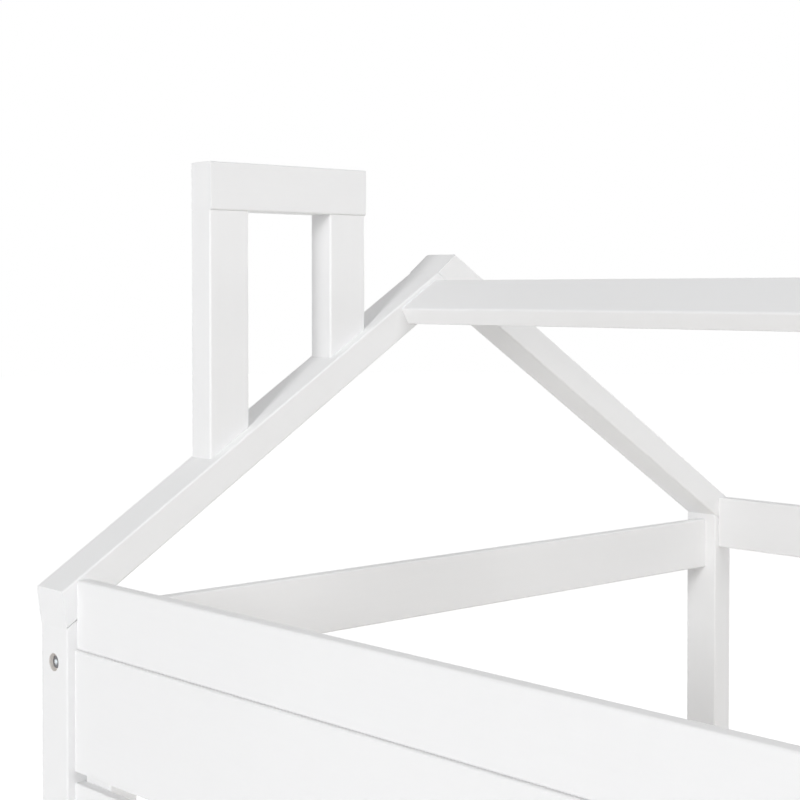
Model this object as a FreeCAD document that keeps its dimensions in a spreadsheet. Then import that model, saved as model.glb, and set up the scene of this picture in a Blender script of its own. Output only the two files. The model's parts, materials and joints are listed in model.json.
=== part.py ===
"""House frame bed for a child, twin size: a gabled frame with a chimney on one gable,
a ridge board, a boarded front wall with a doorway, and a slatted bed base.

Frame of the part, in millimetres:
  X  along the bed, the chimney gable at -X
  Y  across the bed, the boarded front at -Y
  Z  up, 0 on the floor; the origin is under the middle of the bed
"""
import FreeCAD, Part
import math
import os
from collections import namedtuple

import Sketcher

# ---------------------------------------------------------------- driving dimensions
SIZES = {
    # overall
    "bed_length": 2000,
    "bed_width": 1080,
    "eave_height": 1180,            # post top at its outer face
    "roof_pitch": 32,               # degrees
    "edge_round": 2.5,              # rounding of the thick timbers
    "board_round": 1.5,             # rounding of the thin boards
    # posts and rafters
    "post_width": 50,
    "post_depth": 35,
    "rafter_depth": 35,
    "eave_lean": 7,                 # degrees off plumb of the rafter's lower end cut
    "ridge_cut": 37,                # degrees off level of the rear rafter's top end cut
    "saw_allowance": 60,            # spare length of a rafter before its ends are cut
    # rails between the posts
    "eave_rail_height": 70,
    "eave_rail_thickness": 15,
    "eave_rail_setback": 12,
    "eave_rail_drop": 22,           # underside of the front one below the post top
    "rear_rail_drop": 24,           # and of the rear one
    "gable_rail_height": 68,
    "gable_rail_thickness": 15,
    "gable_rail_rise": 14.5,        # top above the post top
    "guard_rail_height": 70,
    "guard_rail_thickness": 15,
    "guard_rail_rise": 110,         # underside above the bed rails
    # ridge board, flat in the plane of the front roof slope
    "ridge_board_width": 65,
    "ridge_board_thickness": 22,
    "ridge_board_recess": 5,        # below the top face of the rafters
    "ridge_board_drop": 24,         # top edge down the slope from the apex
    # chimney
    "chimney_front": 184,           # first post behind the front face of the bed
    "chimney_setback": 3,           # posts behind the outer face of the gable
    "chimney_post_width": 52,
    "chimney_post_depth": 35,
    "chimney_gap": 115,
    "chimney_rise": 423,            # underside of the cap above the eaves
    "cap_height": 52,
    "cap_depth": 36,
    "cap_setback": 4,
    # boarded wall
    "wall_rows": 5,                 # short boards below the header board
    "board_thickness": 12,
    "board_setback": 9,
    "board_gap": 11,
    "stile_width": 45,
    "stile_depth": 32,
    "door_width": 640,
    # bed base
    "bed_rail_height": 122,
    "bed_rail_thickness": 18,
    "bed_rail_clearance": 239,      # underside above the floor
    "slat_drop": 76,                # slat underside below the top of the bed rails
    "slat_width": 100,
    "slat_thickness": 15,
    "slat_end_gap": 2,
    "slat_count": 11,
    "ledger_width": 30,
    "ledger_height": 30,
    "ledger_inset": 45,             # clear of the posts, which leaves the barrel nuts free
    "beam_width": 35,
    "beam_height": 50,
    "leg_width": 50,
    # machine bolts and barrel nuts
    "bolt_radius": 3,
    "bolt_clearance": 0.3,
    "bolt_head_radius": 6.5,
    "bolt_head_thickness": 3,
    "bolt_socket_radius": 2.3,
    "bolt_socket_depth": 2,
    "bolt_tip": 4,                  # bolt past the barrel nut
    "counterbore_radius": 9,
    "counterbore_depth": 5.5,
    "nut_radius": 5,
    "nut_length": 11,
    "nut_clearance": 0.1,
    "nut_wall": 2,                  # wood left under a barrel nut
    "nut_reach": 30,                # barrel nut from the joint face
    "bolt_edge": 17,                # bolt above the underside of a rail
    "eave_bolt_edge": 12,           # lower eave bolt above the underside of the eave rail
    "side_bolt_edge": 36,           # bolts from the edges of a side rail
    "end_bolt_edge": 14,            # bolts from the edges of an end rail
    # dowels
    "dowel_radius": 4,
    "dowel_length": 36,
    "dowel_clearance": 0.1,
    "dowel_end_gap": 1,             # hole past each end of a dowel
    "seat_dowel_spread": 25,        # between the two dowels at either end of a rafter
    "gable_dowel_edge": 28,         # dowel above the underside of a gable rail
    "board_dowel_edge": 13,         # dowels from the edges of the ridge board
    "ridge_dowel_down": 20,         # from the upper edge of the ridge joint
    # screws
    "frame_screw_radius": 2.8,
    "frame_screw_length": 80,
    "frame_screw_head_radius": 6,
    "frame_screw_head_height": 4,
    "frame_screw_sink": 10,
    "wood_screw_radius": 1.8,
    "wood_screw_length": 40,
    "wood_screw_head_radius": 4,
    "wood_screw_head_height": 2.2,
    "wood_screw_sink": 0.5,
    "screw_clearance": 0.1,
    "screw_edge": 26,               # screws from the edges of a board
    "stile_lap": 25,                # of a stile over the side rail
    "ledger_screws": 6,
}
FASTENERS = ("long_bolts", "short_bolts", "barrel_nuts", "dowels", "frame_screws", "wood_screws")

X_AXIS = FreeCAD.Vector(1, 0, 0)
Y_AXIS = FreeCAD.Vector(0, 1, 0)
TURN = {                            # turns local +Z to the direction named
    "+X": FreeCAD.Rotation(Y_AXIS, 90),
    "-X": FreeCAD.Rotation(Y_AXIS, -90),
    "+Y": FreeCAD.Rotation(X_AXIS, -90),
    "-Y": FreeCAD.Rotation(X_AXIS, 90),
    "+Z": FreeCAD.Rotation(X_AXIS, 0),
    "-Z": FreeCAD.Rotation(X_AXIS, 180),
}
SECTION_PLANE = {"X": "YZ_Plane", "Y": "XZ_Plane", "Z": "XY_Plane"}

doc = FreeCAD.newDocument("house_frame_bed")
sheet = doc.addObject("Spreadsheet::Sheet", "Sizes")
for row, (alias, value) in enumerate(SIZES.items(), start=1):
    sheet.set(f"A{row}", alias)
    sheet.set(f"B{row}", str(value))
    sheet.setAlias(f"B{row}", alias)
doc.recompute()


def size(alias):
    """The value of one driving dimension."""
    return float(sheet.get(alias))


class Names(dict):
    """Writes {alias} in an expression as the cell of that alias, and knows the places below."""

    def __missing__(self, key):
        if key not in SIZES:
            raise KeyError(key)
        return f"Sizes.{key}"


PLACES = Names()


def ex(text):
    """An expression of the document, from text with {names}."""
    return text.format_map(PLACES)


def define(**places):
    """Adds named places, each an expression over sizes and earlier places."""
    for name, text in places.items():
        PLACES[name] = f"({ex(text)})"


# ---------------------------------------------------------------- named places
define(
    left="-{bed_length} / 2",
    right="{bed_length} / 2",
    front="-{bed_width} / 2",
    back="{bed_width} / 2",
    slope="tan({roof_pitch} * 1 deg)",
    run="cos({roof_pitch} * 1 deg)",
    rise="sin({roof_pitch} * 1 deg)",
)
define(
    clear_length="{bed_length} - 2 * {post_width}",
    clear_width="{bed_width} - 2 * {post_depth}",
    inner_left="{left} + {post_width}",
    inner_right="{right} - {post_width}",
    inner_front="{front} + {post_depth}",
    inner_back="{back} - {post_depth}",
    slope_length="{back} / {run}",
    # boarded wall, from the eave rail down
    eave_rail_bottom="{eave_height} - {eave_rail_drop}",
    rear_rail_bottom="{eave_height} - {rear_rail_drop}",
    board_front="{front} + {board_setback}",
    board_back="{front} + {board_setback} + {board_thickness}",
    # bed base, from the floor up
    bed_rail_bottom="{bed_rail_clearance}",
    bed_rail_top="{bed_rail_clearance} + {bed_rail_height}",
)
define(
    board_pitch="({eave_rail_bottom} - {bed_rail_top}) / ({wall_rows} + 1)",
)
define(
    board_height="{board_pitch} - {board_gap}",
    header_bottom="{eave_rail_bottom} - {board_pitch} + {board_gap}",
    slat_bottom="{bed_rail_top} - {slat_drop}",
    slat_top="{bed_rail_top} - {slat_drop} + {slat_thickness}",
    bed_rail_inner_front="{board_back}",
    bed_rail_inner_back="-{board_back}",
    beam_bottom="{bed_rail_top} - {slat_drop} - {beam_height}",
    guard_bottom="{bed_rail_top} + {guard_rail_rise}",
    end_rail_inset="({post_width} + {bed_rail_thickness}) / 2",
    # ridge: where the top of the front rafter meets the underside of the rear rafter
    ridge_joint_y="-{rafter_depth} / (2 * {rise})",
)
define(
    slat_bay="{bed_length} - 2 * {end_rail_inset}",
    ridge_joint_z="{eave_height} + ({back} - {ridge_joint_y}) * {slope}",
)


# ---------------------------------------------------------------- makers
def bind(obj, **properties):
    """Binds properties to expressions; a double underscore stands for a dot."""
    for name, text in properties.items():
        obj.setExpression(name.replace("__", "."), ex(text))


def place(obj, x, y, z, turn=None, angle=None):
    """Places an object: x, y, z and the angle about X are expressions, turn is a Rotation."""
    if angle is not None:
        turn = FreeCAD.Rotation(X_AXIS, 1)      # sets the axis, the angle follows below
    if turn is not None:
        obj.Placement = FreeCAD.Placement(FreeCAD.Vector(), turn)
    bind(obj, Placement__Base__x=x, Placement__Base__y=y, Placement__Base__z=z)
    if angle is not None:
        bind(obj, Placement__Rotation__Angle=angle)


def rounded_section(sketch, width, height, radius):
    """Draws a rectangle with rounded corners, its lower left corner at the origin."""
    u, v, r = 40.0, 30.0, 2.0       # first guess; the constraints below set the size
    vector = FreeCAD.Vector
    centres = [(u - r, r), (u - r, v - r), (r, v - r), (r, r)]
    sides = [((r, 0), (u - r, 0)), ((u, r), (u, v - r)), ((u - r, v), (r, v)), ((0, v - r), (0, r))]
    for turn, (centre, side) in enumerate(zip(centres, sides)):
        start, end = (vector(a, b, 0) for a, b in side)
        sketch.addGeometry(Part.LineSegment(start, end), False)
        circle = Part.Circle(vector(centre[0], centre[1], 0), vector(0, 0, 1), r)
        first = (turn - 1) * math.pi / 2
        sketch.addGeometry(Part.ArcOfCircle(circle, first, first + math.pi / 2), False)
    join = Sketcher.Constraint
    rules = [join("Horizontal", 0), join("Vertical", 2), join("Horizontal", 4), join("Vertical", 6)]
    rules += [join("Tangent", edge, 2, (edge + 1) % 8, 1) for edge in range(8)]
    rules += [join("Equal", 1, 3), join("Equal", 3, 5), join("Equal", 5, 7)]
    rules += [join("PointOnObject", 0, 1, -1), join("PointOnObject", 6, 1, -2)]
    sketch.addConstraint(rules)
    datums = [
        (join("Radius", 1, r), radius),
        (join("DistanceX", 6, 1, 2, 1, u), width),
        (join("DistanceY", 0, 1, 4, 1, v), height),
    ]
    for rule, text in datums:
        index = sketch.addConstraint(rule)
        sketch.setExpression(f"Constraints[{index}]", ex(text))


def bar(name, grain, at, extent, radius="{edge_round}", angle=None):
    """A planed timber with rounded long edges.

    grain is the axis that the timber runs along, at its lowest corner and extent its
    sizes along X, Y and Z, all expressions. angle leans it about X.
    """
    body = doc.addObject("PartDesign::Body", name + "_blank")
    sketch = body.newObject("Sketcher::SketchObject", name + "_section")
    origin_plane = next(o for o in body.Origin.OriginFeatures if o.Role == SECTION_PLANE[grain])
    sketch.AttachmentSupport = [(origin_plane, "")]
    sketch.MapMode = "FlatFace"
    along_x, along_y, along_z = extent
    width, height, length = {
        "X": (along_y, along_z, along_x),
        "Y": (along_x, along_z, along_y),
        "Z": (along_x, along_y, along_z),
    }[grain]
    rounded_section(sketch, width, height, radius)
    pad = body.newObject("PartDesign::Pad", name + "_length")
    pad.Profile = sketch
    pad.Reversed = grain == "Y"
    bind(pad, Length=length)
    place(body, *at, angle=angle)
    blanks[name] = body
    return body


def cylinder(name, radius, height, base="0"):
    """A cylinder on the local Z axis, from base to base + height."""
    shape = doc.addObject("Part::Cylinder", name)
    bind(shape, Radius=radius, Height=height, Placement__Base__z=base)
    return shape


def fused(name, *shapes):
    """One solid from several."""
    union = doc.addObject("Part::MultiFuse", name)
    union.Shapes = list(shapes)
    return union


def half_space(name, y, z, angle):
    """A block that saws off what lies above a plane through (y, z), tilted about X."""
    block = doc.addObject("Part::Box", name)
    bind(block, Length="{bed_length}", Width="2 * {bed_width}", Height="{bed_width}")
    tilt = f"(({angle}) * 1 deg)"
    place(block, "{left}", f"({y}) - {{bed_width}} * cos{tilt}",
          f"({z}) - {{bed_width}} * sin{tilt}", angle=angle)
    return block


def copies(kind, shape, at, turn=None, angle=None):
    """One more copy of a master shape, placed like a sub-part."""
    copy = doc.addObject("App::Link", f"{kind}_{len(links.setdefault(kind, [])) + 1:03d}")
    copy.LinkedObject = shape
    copy.LinkTransform = True
    place(copy, *at, turn=turn, angle=angle)
    links[kind].append(copy)
    return copy


def cut(tool, *names):
    """Notes that a tool cuts the named timbers."""
    for name in names:
        tools.setdefault(name, []).append(tool)


blanks = {}                         # node name to its uncut timber
tools = {}                          # node name to the tools that cut it
links = {}                          # kind of fastener or drill to its copies


# ---------------------------------------------------------------- masters of the fasteners
def bolt_master(kind, through):
    """A socket head bolt, head at z = counterbore depth, and the drill that its hole needs."""
    reach = f"({through} + {{nut_reach}})"
    shank = cylinder(f"{kind}_shank", "{bolt_radius}",
                     f"{reach} + {{bolt_tip}} + {{nut_radius}} - {{counterbore_depth}}", "{counterbore_depth}")
    head = cylinder(f"{kind}_head", "{bolt_head_radius}", "{bolt_head_thickness}",
                    "{counterbore_depth} - {bolt_head_thickness}")
    socket = cylinder(f"{kind}_socket", "{bolt_socket_radius}", "{bolt_socket_depth}",
                      "{counterbore_depth} - {bolt_head_thickness}")
    bolt = doc.addObject("Part::Cut", f"{kind}_master")
    bolt.Base = fused(f"{kind}_body", shank, head)
    bolt.Tool = socket
    drill = fused(
        f"{kind}_drill",
        cylinder(f"{kind}_hole", "{bolt_radius} + {bolt_clearance}",
                 f"{reach} + 2 * {{bolt_tip}} + {{nut_radius}}"),
        cylinder(f"{kind}_counterbore", "{counterbore_radius}", "{counterbore_depth}"),
    )
    return bolt, drill


def nut_master():
    """A barrel nut on the local Z axis, centred, with its cross hole along X."""
    barrel = cylinder("barrel_nut_body", "{nut_radius}", "{nut_length}", "-{nut_length} / 2")
    thread = cylinder("barrel_nut_thread", "{bolt_radius} + {bolt_clearance}", "4 * {nut_radius}")
    place(thread, "-2 * {nut_radius}", "0", "0", turn=TURN["+X"])
    nut = doc.addObject("Part::Cut", "barrel_nut_master")
    nut.Base = barrel
    nut.Tool = thread
    return nut


def dowel_master():
    """A plain dowel, centred on the joint face, and its drill."""
    dowel = cylinder("dowel_master", "{dowel_radius}", "{dowel_length}", "-{dowel_length} / 2")
    drill = cylinder("dowel_drill", "{dowel_radius} + {dowel_clearance}",
                     "{dowel_length} + 2 * {dowel_end_gap}", "-{dowel_length} / 2 - {dowel_end_gap}")
    return dowel, drill


def screw_master(kind):
    """A countersunk screw whose head lies below the surface, and its drill."""
    def solid(label, gap):
        """Head cone and shank, larger all round by the gap."""
        cone = doc.addObject("Part::Cone", f"{kind}_{label}_head")
        bind(cone, Radius1=f"{{{kind}_head_radius}} + {gap}", Radius2=f"{{{kind}_radius}} + {gap}",
             Height=f"{{{kind}_head_height}}", Placement__Base__z=f"{{{kind}_sink}}")
        shank = cylinder(f"{kind}_{label}_shank", f"{{{kind}_radius}} + {gap}",
                         f"{{{kind}_length}} + {gap}", f"{{{kind}_sink}}")
        return [cone, shank]

    screw = fused(f"{kind}_master", *solid("body", "0"))
    well = cylinder(f"{kind}_well", f"{{{kind}_head_radius}} + {{screw_clearance}}", f"{{{kind}_sink}}")
    return screw, fused(f"{kind}_drill", well, *solid("hole", "{screw_clearance}"))


LONG_BOLT, LONG_DRILL = bolt_master("long_bolt", "{post_width}")
SHORT_BOLT, SHORT_DRILL = bolt_master("short_bolt", "{post_depth}")
BARREL_NUT = nut_master()
DOWEL, DOWEL_DRILL = dowel_master()
FRAME_SCREW, FRAME_SCREW_DRILL = screw_master("frame_screw")
WOOD_SCREW, WOOD_SCREW_DRILL = screw_master("wood_screw")


def fasten(kind, master, drill, names, at, turn=None, angle=None):
    """Sets one fastener and drills the timbers that it joins."""
    copies(kind, master, at, turn, angle)
    cut(copies(f"{kind}_hole", drill, at, turn, angle), *names)


def bolt_joint(carrier, rail, head_at, heading, nut_from, nut_heading, thickness):
    """A bolt through the carrier into the end of a rail, with its barrel nut.

    head_at is where the bolt enters; nut_from is where the nut hole enters the face of
    the rail, which is thickness deep along nut_heading.
    """
    long = heading[1] == "X"
    kind = "long_bolts" if long else "short_bolts"
    master, drill = (LONG_BOLT, LONG_DRILL) if long else (SHORT_BOLT, SHORT_DRILL)
    fasten(kind, master, drill, (carrier, rail), head_at, TURN[heading])
    barrel_nut(rail, nut_from, nut_heading, thickness, across=long)


def barrel_nut(rail, nut_from, nut_heading, thickness, across, angle=None):
    """A barrel nut in a blind hole of a rail; across says that the bolt runs along X."""
    hole = cylinder(f"{rail}_nut_hole_{len(tools.get(rail, []))}",
                    "{nut_radius} + {nut_clearance}", f"{thickness} - {{nut_wall}}")
    turn = None if angle else TURN[nut_heading]
    place(hole, *nut_from, turn=turn, angle=angle)
    cut(hole, rail)
    x, y, z = nut_from
    middle = f"({thickness}) / 2"
    if angle:
        y = f"({y}) - {middle} * sin(({angle}) * 1 deg)"
        z = f"({z}) + {middle} * cos(({angle}) * 1 deg)"
    else:
        step = f"({middle})" if nut_heading[0] == "+" else f"(-{middle})"
        x = f"({x}) + {step}" if nut_heading[1] == "X" else x
        y = f"({y}) + {step}" if nut_heading[1] == "Y" else y
        spin = FreeCAD.Rotation(FreeCAD.Vector(0, 0, 1), 0 if across else 90)
        turn = TURN[nut_heading].multiply(spin)
    copies("barrel_nuts", BARREL_NUT, (x, y, z), turn, angle)


def dowel(names, at, turn=None, angle=None):
    """A dowel across the joint of two timbers."""
    fasten("dowels", DOWEL, DOWEL_DRILL, names, at, turn, angle)


# ---------------------------------------------------------------- the four corners
Edge = namedtuple("Edge", "outer inward post")     # outer face, into the bed, low face of its posts
ENDS = {
    "left": Edge("{left}", "+X", "{left}"),
    "right": Edge("{right}", "-X", "{inner_right}"),
}
SIDES = {
    "front": Edge("{front}", "+Y", "{front}"),
    "rear": Edge("{back}", "-Y", "{inner_back}"),
}


def inset(edge, distance, start=None):
    """A place at a distance into the bed from an outer face, or from another start."""
    return f"{start or edge.outer} {edge.inward[0]} ({distance})"


def posts():
    """Four posts, their tops sawn to the slope of the roof."""
    roof_planes = {
        "front": half_space("front_roof_plane", "{front}", "{eave_height}", "{roof_pitch}"),
        "rear": half_space("rear_roof_plane", "{back}", "{eave_height}", "-{roof_pitch}"),
    }
    for end, gable in ENDS.items():
        for side, flank in SIDES.items():
            name = f"post_{end}_{side}"
            bar(name, "Z", (gable.post, flank.post, "0"),
                ("{post_width}", "{post_depth}", "{eave_height} + {post_depth} * {slope}"))
            cut(roof_planes[side], name)
    return roof_planes


def rafters(roof_planes):
    """Two pairs of rafters; the front one butts under the rear one at the ridge."""
    eave_cuts = {
        "front": half_space("front_eave_cut", "{front}", "{eave_height}", "90 + {eave_lean}"),
        "rear": half_space("rear_eave_cut", "{back}", "{eave_height}", "-90 - {eave_lean}"),
    }
    ridge_cut = half_space("ridge_end_cut", "{ridge_joint_y}", "{ridge_joint_z}", "{ridge_cut}")
    blank_length = "{slope_length} + {rafter_depth} + 2 * {saw_allowance}"
    extent = ("{post_width}", "{rafter_depth}", blank_length)
    for end, gable in ENDS.items():
        x = gable.post
        front, rear = f"rafter_{end}_front", f"rafter_{end}_rear"
        bar(front, "Z", (x, "{front} - {rafter_depth} * {rise} - {saw_allowance} * {run}",
                         "{eave_height} + {rafter_depth} * {run} - {saw_allowance} * {rise}"),
            extent, angle="{roof_pitch} - 90")
        bar(rear, "Z", (x, "{back} + {saw_allowance} * {run}", "{eave_height} - {saw_allowance} * {rise}"),
            extent, angle="90 - {roof_pitch}")
        cut(eave_cuts["front"], front)
        cut(roof_planes["rear"], front)
        cut(eave_cuts["rear"], rear)
        cut(ridge_cut, rear)
        seat_dowels(end, x)
        ridge_joint(front, rear, x)


def dowel_pair(names, x, y, z, angle):
    """Two dowels side by side across a gable timber that starts at x."""
    for spread in ("-", "+"):
        dowel(names, (f"{x} + {{post_width}} / 2 {spread} {{seat_dowel_spread}} / 2", y, z), angle=angle)


def seat_dowels(end, x):
    """Two dowels between each post top and its rafter, square to the roof."""
    for side, flank in SIDES.items():
        dowel_pair((f"post_{end}_{side}", f"rafter_{end}_{side}"), x, inset(flank, "{post_depth} / 2"),
                   "{eave_height} + {post_depth} / 2 * {slope}",
                   "{roof_pitch}" if side == "front" else "-{roof_pitch}")


def ridge_joint(front, rear, x):
    """Two dowels from the underside of the rear rafter into the end of the front one."""
    dowel_pair((front, rear), x, "{ridge_joint_y} + {ridge_dowel_down} * {run}",
               "{ridge_joint_z} - {ridge_dowel_down} * {rise}", "-{roof_pitch}")


def ridge_board():
    """The board under the ridge, bolted and dowelled between the front rafters."""
    along = "({slope_length} - {ridge_board_drop} - {ridge_board_width})"
    above = "({rafter_depth} - {ridge_board_recess} - {ridge_board_thickness})"

    def on_slope(along_slope, above_slope):
        """Y and Z of a point given along the front slope and above its underside."""
        return (f"{{front}} + ({along_slope}) * {{run}} - ({above_slope}) * {{rise}}",
                f"{{eave_height}} + ({along_slope}) * {{rise}} + ({above_slope}) * {{run}}")

    bar("ridge_board", "X", ("{inner_left}", *on_slope(along, above)),
        ("{clear_length}", "{ridge_board_width}", "{ridge_board_thickness}"), angle="{roof_pitch}")
    middle = f"{above} + {{ridge_board_thickness}} / 2"
    for end, gable in ENDS.items():
        rafter = f"rafter_{end}_front"
        seat = inset(gable, "{post_width}")
        centre = on_slope(f"{along} + {{ridge_board_width}} / 2", middle)
        fasten("long_bolts", LONG_BOLT, LONG_DRILL, (rafter, "ridge_board"), (gable.outer, *centre),
               TURN[gable.inward])
        nut_y, nut_z = on_slope(f"{along} + {{ridge_board_width}} / 2", above)
        barrel_nut("ridge_board", (inset(gable, "{nut_reach}", seat), nut_y, nut_z), "+Z",
                   "{ridge_board_thickness}", across=True, angle="{roof_pitch}")
        for edge in ("{board_dowel_edge}", "({ridge_board_width} - {board_dowel_edge})"):
            dowel((rafter, "ridge_board"), (seat, *on_slope(f"{along} + {edge}", middle)), TURN["+X"])


def long_rail(name, side, at_y, at_z, height, thickness, bolts, dowels=(), nut_side="inner"):
    """A rail along X between the posts of one side, with its bolts and dowels.

    at_y is the low face of the rail and at_z its underside; bolts is a list of
    (carrier, z) pairs and dowels a list of z, all expressions.
    """
    bar(name, "X", ("{inner_left}", at_y, at_z), ("{clear_length}", thickness, height))
    middle = f"{at_y} + {thickness} / 2"
    nut_face, nut_heading = {
        "inner": (f"{at_y} + {thickness}", "-Y") if side == "front" else (at_y, "+Y"),
        "outer": (at_y, "+Y") if side == "front" else (f"{at_y} + {thickness}", "-Y"),
    }[nut_side]
    for end, gable in ENDS.items():
        seat = inset(gable, "{post_width}")
        for carrier, z in bolts:
            bolt_joint(f"{carrier}_{end}_{side}", name, (gable.outer, middle, z), gable.inward,
                       (inset(gable, "{nut_reach}", seat), nut_face, z), nut_heading, thickness)
        for z in dowels:
            dowel((f"post_{end}_{side}", name), (seat, middle, z), TURN["+X"])


def cross_rail(stem, at_z, height, thickness, bolts, dowels):
    """A rail along Y between the posts of each gable, centred on them."""
    for end, gable in ENDS.items():
        name = f"{stem}_{end}"
        at_x = f"{gable.post} + ({{post_width}} - {thickness}) / 2"
        bar(name, "Y", (at_x, "{inner_front}", at_z), (thickness, "{clear_width}", height))
        middle = f"{gable.post} + {{post_width}} / 2"
        # the nut holes open on the outer face of the gable
        nut_face, nut_heading = (at_x, "+X") if end == "left" else (f"{at_x} + {thickness}", "-X")
        for side, flank in SIDES.items():
            seat = inset(flank, "{post_depth}")
            for z in bolts:
                bolt_joint(f"post_{end}_{side}", name, (middle, flank.outer, z), flank.inward,
                           (nut_face, inset(flank, "{nut_reach}", seat), z), nut_heading, thickness)
            for z in dowels:
                dowel((f"post_{end}_{side}", name), (middle, seat, z), TURN["+Y"])


def roof_rails():
    """Eave rails along both sides and top rails across both gables."""
    places = {                      # low face and underside of each eave rail
        "front": ("{front} + {eave_rail_setback}", "{eave_rail_bottom}"),
        "rear": ("{back} - {eave_rail_setback} - {eave_rail_thickness}", "{rear_rail_bottom}"),
    }
    in_wall = "({eave_rail_setback} + {eave_rail_thickness} / 2)"
    in_rafter = f"{{eave_height}} + {in_wall} * {{slope}} + {{rafter_depth}} / (2 * {{run}})"
    for side, (low_face, bottom) in places.items():
        long_rail(f"eave_rail_{side}", side, low_face, bottom, "{eave_rail_height}",
                  "{eave_rail_thickness}",
                  [("post", f"{bottom} + {{eave_bolt_edge}}"), ("rafter", in_rafter)],
                  nut_side="inner" if side == "front" else "outer")
    bottom = "({eave_height} + {gable_rail_rise} - {gable_rail_height})"
    cross_rail("gable_rail", bottom, "{gable_rail_height}", "{gable_rail_thickness}",
               [f"{bottom} + {{bolt_edge}}"], [f"{bottom} + {{gable_dowel_edge}}"])


def chimney():
    """Two posts on the front rafter of the left gable, and a cap across them."""
    rafter = "rafter_left_front"
    low_x = "{left} + {chimney_setback}"
    centre_x = f"{low_x} + {{chimney_post_depth}} / 2"
    cap_bottom = "{eave_height} + {chimney_rise}"
    roof = half_space("chimney_base_plane", "{front} - {rafter_depth} * {rise}",
                      "{eave_height} + {rafter_depth} * {run}", "180 + {roof_pitch}")
    starts = {
        "front": "{front} + {chimney_front}",
        "rear": "{front} + {chimney_front} + {chimney_post_width} + {chimney_gap}",
    }
    for side, y in starts.items():
        name = f"chimney_post_{side}"
        # the blank starts at the rafter's underside and is sawn to its top face
        foot = f"{{eave_height}} + ({y} - {{front}}) * {{slope}}"
        bar(name, "Z", (low_x, y, foot),
            ("{chimney_post_depth}", "{chimney_post_width}", f"{cap_bottom} - ({foot})"))
        cut(roof, name)
        centre_y = f"{y} + {{chimney_post_width}} / 2"
        underside = f"{{eave_height}} + ({centre_y} - {{front}}) * {{slope}}"
        fasten("frame_screws", FRAME_SCREW, FRAME_SCREW_DRILL, (rafter, name),
               (centre_x, centre_y, underside), TURN["+Z"])
        fasten("frame_screws", FRAME_SCREW, FRAME_SCREW_DRILL, ("chimney_cap", name),
               (centre_x, centre_y, f"{cap_bottom} + {{cap_height}}"), TURN["-Z"])
    bar("chimney_cap", "Y", ("{left} + {cap_setback}", starts["front"], cap_bottom),
        ("{cap_depth}", "2 * {chimney_post_width} + {chimney_gap}", "{cap_height}"))


def bed_rails():
    """Side rails and end rails at the bed, with the guard rails above them."""
    low_faces = {
        "front": "{bed_rail_inner_front} - {bed_rail_thickness}",
        "rear": "{bed_rail_inner_back}",
    }
    heights = ("{bed_rail_bottom} + {side_bolt_edge}", "{bed_rail_top} - {side_bolt_edge}")
    for side, low_face in low_faces.items():
        long_rail(f"side_rail_{side}", side, low_face, "{bed_rail_bottom}", "{bed_rail_height}",
                  "{bed_rail_thickness}", [("post", z) for z in heights],
                  ["{bed_rail_bottom} + {bed_rail_height} / 2"])
    # the bolts of the end rails pass above and below those of the side rails
    cross_rail("end_rail", "{bed_rail_bottom}", "{bed_rail_height}", "{bed_rail_thickness}",
               ["{bed_rail_bottom} + {end_bolt_edge}", "{bed_rail_top} - {end_bolt_edge}"],
               ["{bed_rail_bottom} + {bed_rail_height} / 2"])
    cross_rail("guard_rail", "{guard_bottom}", "{guard_rail_height}", "{guard_rail_thickness}",
               ["{guard_bottom} + {bolt_edge}"], ["{guard_bottom} + {guard_rail_height} - {bolt_edge}"])
    long_rail("guard_rail_rear", "rear", "{back} - {eave_rail_setback} - {guard_rail_thickness}",
              "{guard_bottom}", "{guard_rail_height}", "{guard_rail_thickness}",
              [("post", "{guard_bottom} + {guard_rail_height} / 2")],
              ["{guard_bottom} + {guard_rail_height} - {bolt_edge}"], nut_side="outer")


def wall():
    """The boarded front: a header board, short boards either side of the doorway, and stiles."""
    left_jamb, right_jamb = "-{door_width} / 2", "{door_width} / 2"
    board_size = ("{board_thickness}", "{board_height}")
    bar("header_board", "X", ("{inner_left}", "{board_front}", "{header_bottom}"),
        ("{clear_length}", *board_size), "{board_round}")
    stile_bottom = "{bed_rail_top} - {stile_lap}"
    places = {                      # low x of the short boards, the end stile and the door stile
        "left": ("{inner_left}", "{inner_left}", f"{left_jamb} - {{stile_width}}"),
        "right": (right_jamb, "{inner_right} - {stile_width}", right_jamb),
    }
    for end, (start, end_stile, door_stile) in places.items():
        boards = [("header_board", "{header_bottom}")]
        for row in range(1, int(size("wall_rows")) + 1):
            name = f"wall_board_{end}_{row}"
            bottom = f"{{header_bottom}} - {row} * {{board_pitch}}"
            bar(name, "X", (start, "{board_front}", bottom),
                ("({clear_length} - {door_width}) / 2", *board_size), "{board_round}")
            boards.append((name, bottom))
        for stile, x in ((f"end_stile_{end}", end_stile), (f"door_stile_{end}", door_stile)):
            bar(stile, "Z", (x, "{board_back}", stile_bottom),
                ("{stile_width}", "{stile_depth}", f"{{eave_rail_bottom}} - ({stile_bottom})"))
            screw_stile(stile, x, boards)


def screw_stile(stile, x, boards):
    """Screws from the back of a stile into every board, and into the side rail."""
    centre_x = f"{x} + {{stile_width}} / 2"
    stile_back = "{board_back} + {stile_depth}"
    for board, bottom in boards:
        for z in (f"{bottom} + {{screw_edge}}", f"{bottom} + {{board_height}} - {{screw_edge}}"):
            fasten("wood_screws", WOOD_SCREW, WOOD_SCREW_DRILL, (stile, board),
                   (centre_x, stile_back, z), TURN["-Y"])
    fasten("wood_screws", WOOD_SCREW, WOOD_SCREW_DRILL, (stile, "side_rail_front"),
           (centre_x, stile_back, "{bed_rail_top} - {stile_lap} / 2"), TURN["-Y"])


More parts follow.
